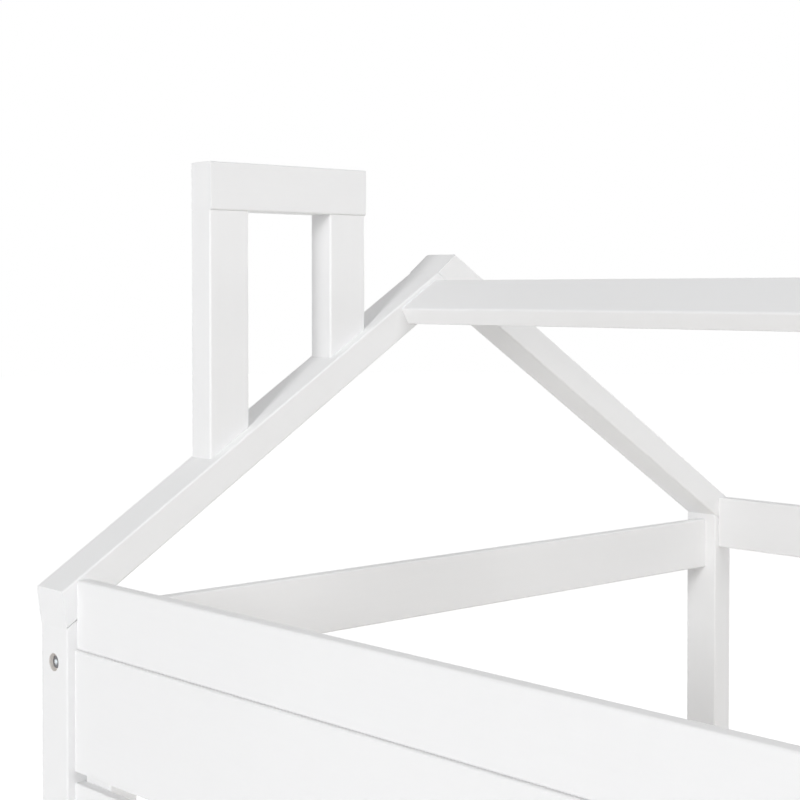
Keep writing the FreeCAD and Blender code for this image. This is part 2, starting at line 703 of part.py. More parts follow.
def bed_base():
    """Ledgers on the side rails, a centre beam with its leg, and the slats."""
    ledger_faces = {
        "front": ("{bed_rail_inner_front}", "{bed_rail_inner_front} + {ledger_width}", "-Y"),
        "rear": ("{bed_rail_inner_back} - {ledger_width}", "{bed_rail_inner_back} - {ledger_width}", "+Y"),
    }
    ledger_screws = int(size("ledger_screws"))
    ledger_start = "({inner_left} + {ledger_inset})"
    ledger_length = "({clear_length} - 2 * {ledger_inset})"
    for side, (low_face, open_face, heading) in ledger_faces.items():
        ledger = f"ledger_{side}"
        bar(ledger, "X", (ledger_start, low_face, "{slat_bottom} - {ledger_height}"),
            (ledger_length, "{ledger_width}", "{ledger_height}"))
        for number in range(ledger_screws):
            x = f"{ledger_start} + {ledger_length} * {number + 0.5} / {ledger_screws}"
            fasten("wood_screws", WOOD_SCREW, WOOD_SCREW_DRILL, (ledger, f"side_rail_{side}"),
                   (x, open_face, "{slat_bottom} - {ledger_height} / 2"), TURN[heading])
    bar("centre_beam", "X", ("{left} + {end_rail_inset}", "-{beam_width} / 2", "{beam_bottom}"),
        ("{slat_bay}", "{beam_width}", "{beam_height}"))
    beam_middle = "{beam_bottom} + {beam_height} / 2"
    for end, gable in ENDS.items():
        face = inset(gable, "({post_width} - {bed_rail_thickness}) / 2")
        fasten("frame_screws", FRAME_SCREW, FRAME_SCREW_DRILL, (f"end_rail_{end}", "centre_beam"),
               (face, "0", beam_middle), TURN[gable.inward])
    bar("centre_leg", "Z", ("-{leg_width} / 2", "-{beam_width} / 2", "0"),
        ("{leg_width}", "{beam_width}", "{beam_bottom}"))
    fasten("frame_screws", FRAME_SCREW, FRAME_SCREW_DRILL, ("centre_beam", "centre_leg"),
           ("0", "0", "{slat_bottom}"), TURN["-Z"])
    slats()


def slats():
    """Slats across the bed, evenly spaced, screwed to both ledgers."""
    count = int(size("slat_count"))
    length = "2 * ({bed_rail_inner_back} - {slat_end_gap})"
    for number in range(1, count + 1):
        name = f"slat_{number:02d}"
        centre = f"{{left}} + {{end_rail_inset}} + {{slat_bay}} * {number - 0.5} / {count}"
        bar(name, "Y",
            (f"{centre} - {{slat_width}} / 2", "{bed_rail_inner_front} + {slat_end_gap}", "{slat_bottom}"),
            ("{slat_width}", length, "{slat_thickness}"), "{board_round}")
        for side, ledger_centre in (("front", "{bed_rail_inner_front} + {ledger_width} / 2"),
                                    ("rear", "{bed_rail_inner_back} - {ledger_width} / 2")):
            fasten("wood_screws", WOOD_SCREW, WOOD_SCREW_DRILL, (name, f"ledger_{side}"),
                   (centre, ledger_centre, "{slat_top}"), TURN["-Z"])


# ---------------------------------------------------------------- finishing and export
def finished_parts():
    """Drills and saws each blank, groups the fasteners, and labels every sub-part."""
    parts = {}
    for name, blank in blanks.items():
        part = blank
        if name in tools:
            part = doc.addObject("Part::Cut", name)
            part.Base = blank
            part.Tool = tools[name][0]
            if len(tools[name]) > 1:
                part.Tool = fused(f"{name}_cuts", *tools[name])
        part.Label = name
        parts[name] = part
    for name in FASTENERS:
        group = doc.addObject("Part::Compound", name)
        group.Links = links[name]
        group.Label = name
        parts[name] = group
    return parts


def check(parts):
    """Stops with a message if a feature failed or a sub-part isn't the solid it should be."""
    for obj in doc.Objects:
        if "Invalid" in obj.State or "Error" in obj.State:
            raise RuntimeError(f"{obj.Name} failed: {obj.State}")
    for name, part in parts.items():
        shape = part.Shape
        if shape.isNull() or not shape.isValid():
            raise RuntimeError(f"{name} has no valid shape")
        expected = len(links[name]) if name in FASTENERS else 1
        if len(shape.Solids) != expected:
            raise RuntimeError(f"{name} has {len(shape.Solids)} solids, not {expected}")
        if name in tools and shape.Volume > blanks[name].Shape.Volume - 1:
            raise RuntimeError(f"{name} was not cut")


def export(parts):
    """Writes one STEP file for each sub-part."""
    os.makedirs("parts", exist_ok=True)
    for name, part in parts.items():
        part.Shape.exportStep(f"parts/{name}.step")


roof = posts()
rafters(roof)
ridge_board()
roof_rails()
chimney()
bed_rails()
wall()
bed_base()
sub_parts = finished_parts()
doc.recompute()
check(sub_parts)
export(sub_parts)
print(f"{len(sub_parts)} sub-parts written")
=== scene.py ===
"""The looks of a house frame bed: satin white paint, bare timber and steel on its frame.

Metres, in the frame of the bed: X along it with the chimney gable at -X, the boarded front
at -Y, Z up from the floor.
"""
from __future__ import annotations

import json
import logging
import math
from dataclasses import dataclass, field
from enum import Enum
from typing import Callable, Sequence

import bmesh
import bpy
import numpy as np
from mathutils import Matrix, Vector

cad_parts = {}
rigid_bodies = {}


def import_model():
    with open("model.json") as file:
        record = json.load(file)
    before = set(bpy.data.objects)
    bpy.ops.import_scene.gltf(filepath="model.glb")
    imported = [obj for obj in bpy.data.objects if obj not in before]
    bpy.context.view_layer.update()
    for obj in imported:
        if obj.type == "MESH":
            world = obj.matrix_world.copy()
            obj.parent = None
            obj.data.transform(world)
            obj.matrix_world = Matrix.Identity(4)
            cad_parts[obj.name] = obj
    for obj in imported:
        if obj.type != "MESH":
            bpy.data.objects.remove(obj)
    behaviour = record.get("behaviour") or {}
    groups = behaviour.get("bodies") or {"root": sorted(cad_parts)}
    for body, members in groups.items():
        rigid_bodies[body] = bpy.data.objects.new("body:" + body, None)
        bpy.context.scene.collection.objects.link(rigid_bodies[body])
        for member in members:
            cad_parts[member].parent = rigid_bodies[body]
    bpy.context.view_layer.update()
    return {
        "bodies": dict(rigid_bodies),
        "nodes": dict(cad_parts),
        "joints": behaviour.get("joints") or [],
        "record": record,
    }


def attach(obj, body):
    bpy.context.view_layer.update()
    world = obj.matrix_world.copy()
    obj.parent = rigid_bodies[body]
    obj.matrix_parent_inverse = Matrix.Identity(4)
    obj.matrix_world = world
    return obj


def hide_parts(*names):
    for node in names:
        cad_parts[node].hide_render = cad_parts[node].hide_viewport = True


LOG = logging.getLogger("house_frame_bed")
MM = 0.001
ROOT = "root"
WELD_DISTANCE = 0.01 * MM
ENDS = ("left", "right")
# the range that most values of a noise texture lie in
NOISE_LOW, NOISE_HIGH = 0.3, 0.7

Colour = tuple[float, float, float]
RadiusAt = Callable[[float], float]


# ---------------------------------------------------------------- shared helpers
def add_object(name: str, data: bpy.types.ID) -> bpy.types.Object:
    """Adds an object to the scene.

    Args:
        name: the object's name.
        data: its mesh, lamp or camera.

    Returns:
        The new object.
    """
    added = bpy.data.objects.new(name, data)
    bpy.context.scene.collection.objects.link(added)
    return added


def weld_faces(node: bpy.types.Object) -> None:
    """Joins the separate faces of a node of the frame along their edges.

    Args:
        node: the node's object.
    """
    weld = node.modifiers.new("weld", "WELD")
    weld.merge_threshold = WELD_DISTANCE


def direction(azimuth: float, elevation: float) -> Vector:
    """Finds a unit vector from its angles.

    Args:
        azimuth: degrees from +X towards +Y.
        elevation: degrees above the level.

    Returns:
        The vector.
    """
    turn, rise = math.radians(azimuth), math.radians(elevation)
    level = math.cos(rise)
    return Vector((math.cos(turn) * level, math.sin(turn) * level, math.sin(rise)))


# ---------------------------------------------------------------- shader graphs
class Grain(Enum):
    """The way that a timber's grain runs; the value is the turn that brings it to local X."""

    ALONG = (0.0, 0.0, 0.0)
    ACROSS = (0.0, 0.0, -90.0)
    UPRIGHT = (0.0, 90.0, 0.0)
    FRONT_SLOPE = (32.0, 0.0, -90.0)
    REAR_SLOPE = (-32.0, 0.0, -90.0)


@dataclass
class Graph:
    """The node tree of one material or world, with short ways to add and link nodes."""

    tree: bpy.types.NodeTree

    def add(self, kind: str, **settings: object) -> bpy.types.Node:
        """Adds a node.

        Args:
            kind: the node's type, without its ShaderNode prefix.
            settings: attributes of the node, by name.

        Returns:
            The new node.
        """
        node = self.tree.nodes.new("ShaderNode" + kind)
        for name, value in settings.items():
            setattr(node, name, value)
        return node

    def link(self, source: bpy.types.NodeSocket, target: bpy.types.NodeSocket) -> None:
        """Links an output to an input.

        Args:
            source: the output.
            target: the input.
        """
        self.tree.links.new(source, target)

    def noise(self, place: bpy.types.NodeSocket, scale: float, detail: float = 2.0,
              roughness: float = 0.5) -> bpy.types.NodeSocket:
        """Adds a noise texture.

        Args:
            place: the coordinates that it reads.
            scale: how many features a metre holds.
            detail: octaves of finer noise.
            roughness: weight of the finer octaves.

        Returns:
            The factor output, about 0.5 on average.
        """
        node = self.add("TexNoise")
        node.inputs["Scale"].default_value = scale
        node.inputs["Detail"].default_value = detail
        node.inputs["Roughness"].default_value = roughness
        self.link(place, node.inputs["Vector"])
        return node.outputs["Fac"]

    def stretched(self, grain: Grain, stretch: float) -> bpy.types.NodeSocket:
        """Coordinates of the frame, turned to the grain and drawn out along it.

        Args:
            grain: the way that the grain runs.
            stretch: how much longer than wide the features become.

        Returns:
            The vector output.
        """
        place = self.add("TexCoord")
        turn = self.add("Mapping", vector_type="POINT")
        turn.inputs["Rotation"].default_value = [math.radians(a) for a in grain.value]
        draw_out = self.add("Mapping", vector_type="POINT")
        draw_out.inputs["Scale"].default_value = (1.0 / stretch, 1.0, 1.0)
        self.link(place.outputs["Object"], turn.inputs["Vector"])
        self.link(turn.outputs["Vector"], draw_out.inputs["Vector"])
        return draw_out.outputs["Vector"]

    def spread(self, factor: bpy.types.NodeSocket, low: float, high: float,
               start: float = NOISE_LOW, end: float = NOISE_HIGH) -> bpy.types.NodeSocket:
        """Maps a factor from start..end to low..high.

        Args:
            factor: the value to map.
            low: result at start.
            high: result at end.
            start: lowest factor.
            end: highest factor.

        Returns:
            The mapped value.
        """
        node = self.add("MapRange", clamp=True)
        self.link(factor, node.inputs["Value"])
        for name, value in (("From Min", start), ("From Max", end),
                            ("To Min", low), ("To Max", high)):
            node.inputs[name].default_value = value
        return node.outputs["Result"]

    def blend(self, factor: bpy.types.NodeSocket | float, first: bpy.types.NodeSocket | float,
              second: bpy.types.NodeSocket | float) -> bpy.types.NodeSocket:
        """Mixes two values.

        Args:
            factor: 0 for the first, 1 for the second.
            first: one value.
            second: the other value.

        Returns:
            The mixed value.
        """
        node = self.add("Mix", data_type="FLOAT")
        for name, value in (("Factor", factor), ("A", first), ("B", second)):
            if isinstance(value, float):
                node.inputs[name].default_value = value
            else:
                self.link(value, node.inputs[name])
        return node.outputs["Result"]

    def colours(self, factor: bpy.types.NodeSocket,
                stops: Sequence[tuple[float, Colour]]) -> bpy.types.NodeSocket:
        """A colour ramp over a factor.

        Args:
            factor: the value that picks the colour.
            stops: place and colour of each stop.

        Returns:
            The colour output.
        """
        ramp = self.add("ValToRGB")
        while len(ramp.color_ramp.elements) < len(stops):
            ramp.color_ramp.elements.new(0.5)
        for element, (place, colour) in zip(ramp.color_ramp.elements, stops):
            element.position = place
            element.color = (*colour, 1.0)
        self.link(factor, ramp.inputs["Fac"])
        return ramp.outputs["Color"]

    def relief(self, height: bpy.types.NodeSocket, depth: float,
               below: bpy.types.NodeSocket | None = None) -> bpy.types.NodeSocket:
        """A bump from a height.

        Args:
            height: the height, 0 to 1.
            depth: metres between height 0 and 1.
            below: the normal of a coarser bump under this one.

        Returns:
            The normal output.
        """
        node = self.add("Bump")
        node.inputs["Strength"].default_value = 1.0
        node.inputs["Distance"].default_value = depth
        self.link(height, node.inputs["Height"])
        if below is not None:
            self.link(below, node.inputs["Normal"])
        return node.outputs["Normal"]


def empty_graph(owner: bpy.types.Material | bpy.types.World) -> Graph:
    """Gives a material or a world an empty node tree.

    Args:
        owner: the material or world.

    Returns:
        Its graph.
    """
    owner.use_nodes = True
    owner.node_tree.nodes.clear()
    return Graph(owner.node_tree)


def new_material(name: str) -> tuple[bpy.types.Material, Graph, bpy.types.Node]:
    """Makes an empty material with a Principled shader.

    Args:
        name: the material's name.

    Returns:
        The material, its graph and its shader node.
    """
    material = bpy.data.materials.new(name)
    graph = empty_graph(material)
    shader = graph.add("BsdfPrincipled")
    output = graph.add("OutputMaterial")
    graph.link(shader.outputs["BSDF"], output.inputs["Surface"])
    return material, graph, shader


# ---------------------------------------------------------------- finishes
@dataclass(frozen=True)
class WhitePaint:
    """Sprayed satin paint on planed softwood: even, with a trace of the grain below it."""

    bright: Colour = (0.899, 0.900, 0.904)
    dull: Colour = (0.881, 0.882, 0.886)
    roughness: tuple[float, float] = (0.38, 0.48)
    clouds_per_m: float = 5.0
    grain_per_m: float = 260.0
    grain_stretch: float = 26.0
    grain_depth: float = 0.03 * MM
    grain_share: float = 0.35
    grain_detail: float = 3.0
    grain_roughness: float = 0.6
    peel_per_m: float = 1100.0
    peel_detail: float = 1.0
    peel_depth: float = 0.01 * MM
    gloss_index: float = 1.46

    def material(self, grain: Grain) -> bpy.types.Material:
        """The paint over timber of one grain direction, made once.

        Args:
            grain: the way that the grain runs.

        Returns:
            The material.
        """
        name = f"white_paint_{grain.name.lower()}"
        if name in bpy.data.materials:
            return bpy.data.materials[name]
        material, graph, shader = new_material(name)
        place = graph.add("TexCoord").outputs["Object"]
        fibres = graph.noise(graph.stretched(grain, self.grain_stretch), self.grain_per_m,
                             self.grain_detail, self.grain_roughness)
        clouds = graph.noise(place, self.clouds_per_m)
        tone = graph.blend(self.grain_share, clouds, fibres)
        colour = graph.colours(tone, ((NOISE_LOW, self.dull), (NOISE_HIGH, self.bright)))
        graph.link(colour, shader.inputs["Base Color"])
        graph.link(graph.spread(fibres, *self.roughness), shader.inputs["Roughness"])
        grain_relief = graph.relief(graph.spread(fibres, 0.0, 1.0), self.grain_depth)
        peel = graph.noise(place, self.peel_per_m, self.peel_detail)
        graph.link(graph.relief(peel, self.peel_depth, grain_relief), shader.inputs["Normal"])
        shader.inputs["IOR"].default_value = self.gloss_index
        return material


@dataclass(frozen=True)
class BareWood:
    """Planed, unpainted timber with growth rings, fibres and pores."""

    name: str
    light: Colour
    dark: Colour
    rings_per_m: float = 60.0
    ring_stretch: float = 14.0
    ring_waver: float = 5.0
    ring_detail: float = 3.0
    ring_detail_scale: float = 0.8
    fibres_per_m: float = 420.0
    fibre_stretch: float = 40.0
    fibre_detail: float = 3.0
    fibre_roughness: float = 0.65
    fibre_share: float = 0.4
    tone_range: tuple[float, float] = (0.15, 0.85)
    roughness: tuple[float, float] = (0.52, 0.68)
    relief_depth: float = 0.06 * MM

    def material(self, grain: Grain) -> bpy.types.Material:
        """The wood with one grain direction, made once.

        Args:
            grain: the way that the grain runs.

        Returns:
            The material.
        """
        name = f"{self.name}_{grain.name.lower()}"
        if name in bpy.data.materials:
            return bpy.data.materials[name]
        material, graph, shader = new_material(name)
        rings = graph.add("TexWave", wave_type="BANDS", bands_direction="Y", wave_profile="SAW")
        # the texture's own scale counts 2 pi bands to the unit
        rings.inputs["Scale"].default_value = self.rings_per_m / math.tau
        rings.inputs["Distortion"].default_value = self.ring_waver
        rings.inputs["Detail"].default_value = self.ring_detail
        rings.inputs["Detail Scale"].default_value = self.ring_detail_scale
        graph.link(graph.stretched(grain, self.ring_stretch), rings.inputs["Vector"])
        fibres = graph.noise(graph.stretched(grain, self.fibre_stretch), self.fibres_per_m,
                             self.fibre_detail, self.fibre_roughness)
        tone = graph.blend(self.fibre_share, rings.outputs["Fac"], fibres)
        colour = graph.colours(tone, tuple(zip(self.tone_range, (self.light, self.dark))))
        graph.link(colour, shader.inputs["Base Color"])
        graph.link(graph.spread(fibres, *self.roughness), shader.inputs["Roughness"])
        graph.link(graph.relief(tone, self.relief_depth), shader.inputs["Normal"])
        return material


@dataclass(frozen=True)
class Steel:
    """Plated or blackened steel with fine turning marks."""

    name: str
    light: Colour
    dark: Colour
    roughness: tuple[float, float]
    mottle_per_m: float = 900.0
    mottle_detail: float = 3.0
    scratch_per_m: float = 2600.0
    scratch_depth: float = 0.01 * MM

    def material(self, grain: Grain = Grain.ALONG) -> bpy.types.Material:
        """The steel's material, made once.

        Args:
            grain: not used, as steel has none; every finish takes it.

        Returns:
            The material.
        """
        if self.name in bpy.data.materials:
            return bpy.data.materials[self.name]
        material, graph, shader = new_material(self.name)
        place = graph.add("TexCoord").outputs["Object"]
        mottle = graph.noise(place, self.mottle_per_m, self.mottle_detail)
        scratch = graph.noise(place, self.scratch_per_m)
        colour = graph.colours(mottle, ((NOISE_LOW, self.dark), (NOISE_HIGH, self.light)))
        graph.link(colour, shader.inputs["Base Color"])
        graph.link(graph.spread(mottle, *self.roughness), shader.inputs["Roughness"])
        graph.link(graph.relief(scratch, self.scratch_depth), shader.inputs["Normal"])
        shader.inputs["Metallic"].default_value = 1.0
        return material


Finish = WhitePaint | BareWood | Steel

PAINT = WhitePaint()
PINE = BareWood("bare_pine", light=(0.85, 0.77, 0.65), dark=(0.74, 0.63, 0.48))
PRIMED_PINE = BareWood("primed_pine", light=(0.93, 0.90, 0.87), dark=(0.90, 0.86, 0.815),
                       rings_per_m=90.0)
BEECH = BareWood("beech", light=(0.72, 0.52, 0.33), dark=(0.56, 0.37, 0.21), rings_per_m=150.0)
DARK_STEEL = Steel("dark_steel", light=(0.26, 0.26, 0.27), dark=(0.17, 0.17, 0.18),
                   roughness=(0.25, 0.4))
# The faces inside bolt sockets and screw recesses get a steel lighter than the heads around them: a
# painted glint, not a plating of its own.
SOCKET_GLINT_STEEL = Steel("socket_glint_steel", light=(0.84, 0.87, 0.89), dark=(0.76, 0.79, 0.81),
                     roughness=(0.18, 0.3))
ZINC = Steel("zinc_steel", light=(0.66, 0.67, 0.68), dark=(0.5, 0.51, 0.53),
             roughness=(0.22, 0.38))


# ---------------------------------------------------------------- seats of the fasteners
@dataclass(frozen=True)
class Seat:
    """Where one fastener sits, the way it points and how large it is."""

    head: Vector
    heading: Vector
    length: float
    head_radius: float
    tip_radius: float

    def matrix(self) -> Matrix:
        """Finds where a shape that is built along +Z from the origin goes.

        Returns:
            The matrix that takes it to the seat.
        """
        turn = self.heading.to_track_quat("Z", "Y")
        return Matrix.Translation(self.head) @ turn.to_matrix().to_4x4()


def separate_solids(node: bpy.types.Object) -> list[np.ndarray]:
    """Finds the solids of a node that holds many.

    Args:
        node: the node's object.

    Returns:
        The vertices of each solid, one array each.
    """
    work = bmesh.new()
    work.from_mesh(node.data)
    bmesh.ops.remove_doubles(work, verts=work.verts, dist=WELD_DISTANCE)
    seen: set[bmesh.types.BMVert] = set()
    solids = []
    for start in work.verts:
        if start in seen:
            continue
        seen.add(start)
        queue, solid = [start], []
        while queue:
            vertex = queue.pop()
            solid.append(vertex.co[:])
            for edge in vertex.link_edges:
                other = edge.other_vert(vertex)
                if other not in seen:
                    seen.add(other)
                    queue.append(other)
        solids.append(np.array(solid))
    work.free()
    return solids


def seat_of(solid: np.ndarray) -> Seat:
    """Reads the seat of a long fastener from its solid.

    Args:
        solid: its vertices.

    Returns:
        The seat, with the head at the wider end.
    """
    middle = (solid.min(axis=0) + solid.max(axis=0)) / 2
    offsets = solid - middle
    _, _, axes = np.linalg.svd(offsets, full_matrices=False)
    axis = axes[0]
    along = offsets @ axis
    across = np.linalg.norm(offsets - np.outer(along, axis), axis=1)
    centre = (along.max() + along.min()) / 2
    high, low = across[along > centre].max(), across[along < centre].max()
    if high > low:
        axis, along = -axis, -along
    return Seat(Vector(middle + axis * along.min()), Vector(axis),
                float(along.max() - along.min()), float(max(high, low)), float(min(high, low)))


# ---------------------------------------------------------------- turned shapes
@dataclass
class Turning:
    """A closed shape of rings stacked along Z, each with as many points."""

    points: int
    rings: list[np.ndarray] = field(default_factory=list)

    def ring(self, height: float, radius: float | RadiusAt) -> None:
        """Adds a ring.

        Args:
            height: its place along Z.
            radius: its radius, or a function of the angle that gives it.
        """
        angles = np.arange(self.points) * math.tau / self.points
        radii = np.array([radius(a) if callable(radius) else radius for a in angles])
        self.rings.append(np.column_stack(
            (radii * np.cos(angles), radii * np.sin(angles), np.full(self.points, height))))

    def thread(self, start: float, end: float, crest: float, depth: float, pitch: float,
               steps: int = 3) -> None:
        """Adds the rings of a screw thread.

        Args:
            start: where it begins.
            end: where it ends.
            crest: radius at the crest.
            depth: crest to root.
            pitch: length of a turn.
            steps: rings to a turn.
        """
        for number in range(int((end - start) / pitch * steps)):
            height = start + (number + 1) * pitch / steps
            turn = height / pitch
            self.ring(height, lambda angle: crest - depth * abs(
                2 * ((turn - angle / math.tau) % 1) - 1))

    def faces(self) -> list[tuple[int, ...]]:
        """Finds the faces of the shape.

        Returns:
            The face over the first ring, those between the rings in order, and the last one.
        """
        count = self.points
        last = (len(self.rings) - 1) * count
        walls = [
            (low + side, low + (side + 1) % count,
             low + count + (side + 1) % count, low + count + side)
            for low in range(0, last, count) for side in range(count)
        ]
        return [tuple(reversed(range(count))), *walls, tuple(range(last, last + count))]


def hexagon(flats: float) -> RadiusAt:
    """The outline of a hexagon.

    Args:
        flats: its width across flats.

    Returns:
        Its radius at an angle.
    """
    sixth = math.tau / 6
    return lambda angle: flats / 2 / math.cos((angle + sixth / 2) % sixth - sixth / 2)


def cross_recess(reach: float, width: float) -> RadiusAt:
    """The outline of a cross recess.

    Args:
        reach: length of an arm from the middle.
        width: width of an arm.

    Returns:
        Its radius at an angle.
    """
    quarter = math.tau / 4
    least_sine = 0.001

    def radius(angle: float) -> float:
        """Radius of the cross at an angle."""
        off_arm = (angle + quarter / 2) % quarter - quarter / 2
        side = max(abs(math.sin(off_arm)), least_sine)
        return min(reach / math.cos(off_arm), width / 2 / side)

    return radius


def fluted(radius: float, flutes: int, depth: float) -> RadiusAt:
    """The outline of a fluted rod.

    Args:
        radius: its radius between the flutes.
        flutes: how many flutes it has.
        depth: how deep they are.

    Returns:
        Its radius at an angle.
    """
    return lambda angle: radius - depth * (0.5 - 0.5 * math.cos(flutes * angle))


@dataclass(frozen=True)
class SocketBolt:
    """A flat-headed furniture bolt with a hexagon socket."""

    head_height: float = 3.0 * MM
    socket_flats: float = 4.4 * MM
    socket_depth: float = 1.1 * MM
    socket_rings: int = 2
    edge: float = 0.6 * MM
    threaded: float = 26.0 * MM
    thread_depth: float = 0.5 * MM
    pitch: float = 1.25 * MM
    points: int = 24
    rounding_share: float = 0.3

    def turned(self, seat: Seat) -> Turning:
        """Turns the bolt, as long as its seat.

        Args:
            seat: where it sits.

        Returns:
            The bolt's shape.
        """
        rounding = self.edge * self.rounding_share
        bolt = Turning(self.points)
        bolt.ring(self.socket_depth, hexagon(self.socket_flats))
        bolt.ring(self.edge / 2, hexagon(self.socket_flats))
        bolt.ring(0.0, hexagon(self.socket_flats + self.edge))
        bolt.ring(0.0, seat.head_radius - self.edge)
        bolt.ring(rounding, seat.head_radius - rounding)
        bolt.ring(self.edge, seat.head_radius)
        bolt.ring(self.head_height, seat.head_radius)
        bolt.ring(self.head_height, seat.tip_radius)
        bolt.ring(seat.length - self.threaded, seat.tip_radius)
        bolt.thread(seat.length - self.threaded, seat.length - self.edge, seat.tip_radius,
                    self.thread_depth, self.pitch)
        bolt.ring(seat.length, seat.tip_radius - self.thread_depth)
        return bolt


@dataclass(frozen=True)
class CountersunkScrew:
    """A countersunk screw with a cross recess, a thread and a point."""

    head_height: float
    pitch: float
    socket_rings: int = 1
    points: int = 16
    recess_share: float = 0.62
    recess_depth_share: float = 0.7
    recess_floor_share: float = 0.45
    arm_share: float = 0.45
    floor_arm_share: float = 0.3
    shank_share: float = 0.9
    thread_share: float = 0.66
    root_share: float = 0.62
    point_length: float = 4.0 * MM
    rim: float = 0.2 * MM

    def turned(self, seat: Seat) -> Turning:
        """Turns the screw, as long as its seat.

        Args:
            seat: where it sits.

        Returns:
            The screw's shape.
        """
        reach = seat.head_radius * self.recess_share
        root = seat.tip_radius * self.root_share
        shank = seat.tip_radius * self.shank_share
        thread_start = seat.length * (1.0 - self.thread_share)
        screw = Turning(self.points)
        screw.ring(self.head_height * self.recess_depth_share,
                   cross_recess(reach * self.recess_floor_share, reach * self.floor_arm_share))
        screw.ring(0.0, cross_recess(reach, reach * self.arm_share))
        screw.ring(0.0, seat.head_radius - self.rim)
        screw.ring(self.rim, seat.head_radius - self.rim)
        screw.ring(self.head_height, shank)
        screw.ring(thread_start, shank)
        screw.thread(thread_start, seat.length - self.point_length, seat.tip_radius,
                     seat.tip_radius - root, self.pitch)
        screw.ring(seat.length - self.point_length, root)
        screw.ring(seat.length, self.rim)
        return screw


@dataclass(frozen=True)
class FlutedDowel:
    """A dowel with straight flutes and chamfered ends."""

    socket_rings: int = 0
    flutes: int = 12
    flute_depth: float = 0.35 * MM
    chamfer: float = 1.2 * MM
    points: int = 48

    def turned(self, seat: Seat) -> Turning:
        """Turns the dowel, as long as its seat.

        Args:
            seat: where it sits.

        Returns:
            The dowel's shape.
        """
        rod = fluted(seat.head_radius, self.flutes, self.flute_depth)
        tip = seat.head_radius - self.chamfer
        dowel = Turning(self.points)
        for height, radius in ((0.0, tip), (self.chamfer, rod),
                               (seat.length - self.chamfer, rod), (seat.length, tip)):
            dowel.ring(height, radius)
        return dowel


@dataclass
class FastenerGroup:
    """All fasteners of one kind, each shaped in full where the frame seats it."""

    node: str
    slot: str
    finish: Finish
    kind: SocketBolt | CountersunkScrew | FlutedDowel
    # the faces in the socket or recess take this lighter steel as a painted glint
    socket_glint_finish: Finish = SOCKET_GLINT_STEEL
    sharp_from: float = math.radians(35)

    def build(self, frame: dict) -> list[Seat]:
        """Builds the group in place of its plain solids.

        Args:
            frame: the loaded frame.

        Returns:
            The seats of its fasteners.
        """
        seats = [seat_of(solid) for solid in separate_solids(frame["nodes"][self.node])]
        vertices: list[Vector] = []
        faces: list[tuple[int, ...]] = []
        glint_faces: list[bool] = []
        rings = self.kind.socket_rings
        socket_faces = rings * self.kind.points + 1 if rings else 0
        for seat in seats:
            turned = self.kind.turned(seat)
            place = seat.matrix()
            own_faces = turned.faces()
            faces += [tuple(len(vertices) + corner for corner in face) for face in own_faces]
            glint_faces += [number < socket_faces for number in range(len(own_faces))]
            vertices += [place @ Vector(point) for ring in turned.rings for point in ring]
        mesh = bpy.data.meshes.new(f"{self.node}_shape")
        mesh.from_pydata(vertices, [], faces)
        mesh.materials.append(self.finish.material(Grain.ALONG))
        # a second, lighter steel on the socket's faces paints a glint in the recess
        if any(glint_faces):
            mesh.materials.append(self.socket_glint_finish.material(Grain.ALONG))
            mesh.polygons.foreach_set("material_index", np.array(glint_faces, dtype=np.int32))
        work = bmesh.new()
        work.from_mesh(mesh)
        bmesh.ops.recalc_face_normals(work, faces=work.faces)
        work.to_mesh(mesh)
        work.free()
        mesh.shade_smooth()
        mesh.set_sharp_from_angle(angle=self.sharp_from)
        piece = add_object(f"{self.node}_detailed", mesh)
        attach(piece, ROOT)
        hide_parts(self.node)
        return seats


@dataclass(frozen=True)
class Bore:
    """The stepped hole of one fastener: a well for its head and a bore for its shank."""

    seat: Seat
    well_radius: float
    well_above: float
    well_below: float
    bore_gap: float = 0.5 * MM
    beyond_tip: float = 9.0 * MM

    def holds(self, points: np.ndarray) -> np.ndarray:
        """Finds the points on the wall of the hole.

        Args:
            points: places in the bed, one a row.

        Returns:
            True for each point on or inside the wall.
        """
        heading = np.array(self.seat.heading)
        offsets = points - np.array(self.seat.head)
        along = offsets @ heading
        across = np.linalg.norm(offsets - np.outer(along, heading), axis=1)
        beside_well = (along > -self.well_above) & (along < self.well_below)
        in_well = (across < self.well_radius) & beside_well
        beside_bore = (along > 0) & (along < self.seat.length + self.beyond_tip)
        in_bore = (across < self.seat.tip_radius + self.bore_gap) & beside_bore
        return in_well | in_bore


